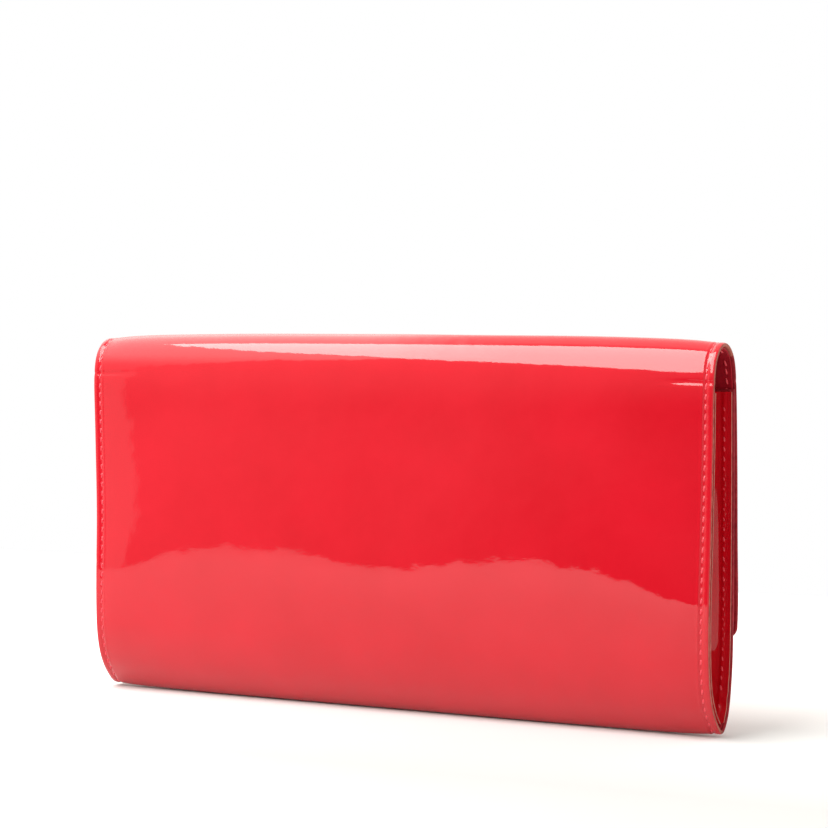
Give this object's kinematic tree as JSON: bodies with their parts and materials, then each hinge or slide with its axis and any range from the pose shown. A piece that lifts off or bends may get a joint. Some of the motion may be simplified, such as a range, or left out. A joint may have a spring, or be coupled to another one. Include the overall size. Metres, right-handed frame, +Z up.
{
  "type": "clutch purse",
  "caption": "Flat envelope clutch purse in glossy leather with a fold-over flap, inward side gussets, a lined pouch with a slip pocket and a hidden magnetic snap.",
  "frame": {"origin": "bottom centre of the purse's box, on the surface that its bottom fold stands on", "axes": "+X along the width, to the right seen from the flap side; +Y from the flap side to the back; +Z up"},
  "size_m": [0.28, 0.0306, 0.1503],
  "materials": {
    "patent_leather": "high gloss patent",
    "gusset_leather": "glossy",
    "facing_leather": "satin",
    "board": "matte",
    "lining_fabric": "satin weave",
    "binding": "ribbed weave",
    "snap_metal": "polished",
    "magnet": "satin",
    "washer_steel": "satin",
    "thread": "waxed thread"
  },
  "bodies": {
    "body": {"back_panel": "patent_leather", "base_stiffener": "board", "back_stiffener": "board", "back_lining": "lining_fabric", "back_facing": "facing_leather", "slip_pocket": "lining_fabric", "pocket_binding": "binding", "gusset_right": "gusset_leather", "gusset_left": "gusset_leather", "gusset_lining_right": "lining_fabric", "gusset_lining_left": "lining_fabric", "back_thread_right": "thread", "back_thread_left": "thread"},
    "front": {"front_panel": "patent_leather", "front_stiffener": "board", "front_lining": "lining_fabric", "front_facing": "facing_leather", "snap_socket": "snap_metal", "snap_magnet": "magnet", "socket_washer": "washer_steel", "socket_patch": "facing_leather", "front_thread_right": "thread", "front_thread_left": "thread"},
    "arch_back": {"arch_back_leather": "patent_leather", "arch_back_foam": "board", "arch_back_lining": "lining_fabric", "arch_back_thread_right": "thread", "arch_back_thread_left": "thread"},
    "arch_front": {"arch_front_leather": "patent_leather", "arch_front_foam": "board", "arch_front_lining": "lining_fabric", "arch_front_thread_right": "thread", "arch_front_thread_left": "thread"},
    "flap": {"flap_panel": "patent_leather", "flap_stiffener": "board", "flap_lining": "lining_fabric", "snap_stud": "snap_metal", "stud_washer": "washer_steel", "flap_thread_right": "thread", "flap_thread_left": "thread"}
  },
  "joints": [
    {"name": "flap_lift", "type": "hinge", "parent": "body", "child": "arch_back", "pos_m": [0, 0.015, 0.133], "axis": [-1, 0, 0], "range_deg": [0, 60]},
    {"name": "arch_crest", "type": "hinge", "parent": "arch_back", "child": "arch_front", "pos_m": [0, 0, 0.15], "axis": [-1, 0, 0], "range_deg": [0, 60]},
    {"name": "flap_bend", "type": "hinge", "parent": "arch_front", "child": "flap", "pos_m": [0, -0.015, 0.133], "axis": [-1, 0, 0], "range_deg": [0, 60]},
    {"name": "front_tilt", "type": "hinge", "parent": "body", "child": "front", "pos_m": [0, -0.0096, 0.026], "axis": [1, 0, 0], "range_deg": [0, 9.7], "deforming": ["gusset_right", "gusset_left", "gusset_lining_right", "gusset_lining_left"]}
  ],
  "couplings": [
    {"joint": "arch_crest", "follows": "flap_lift", "ratio": 1},
    {"joint": "flap_bend", "follows": "flap_lift", "ratio": 1},
    {"joint": "front_tilt", "follows": "flap_lift", "ratio": 0.16}
  ]
}
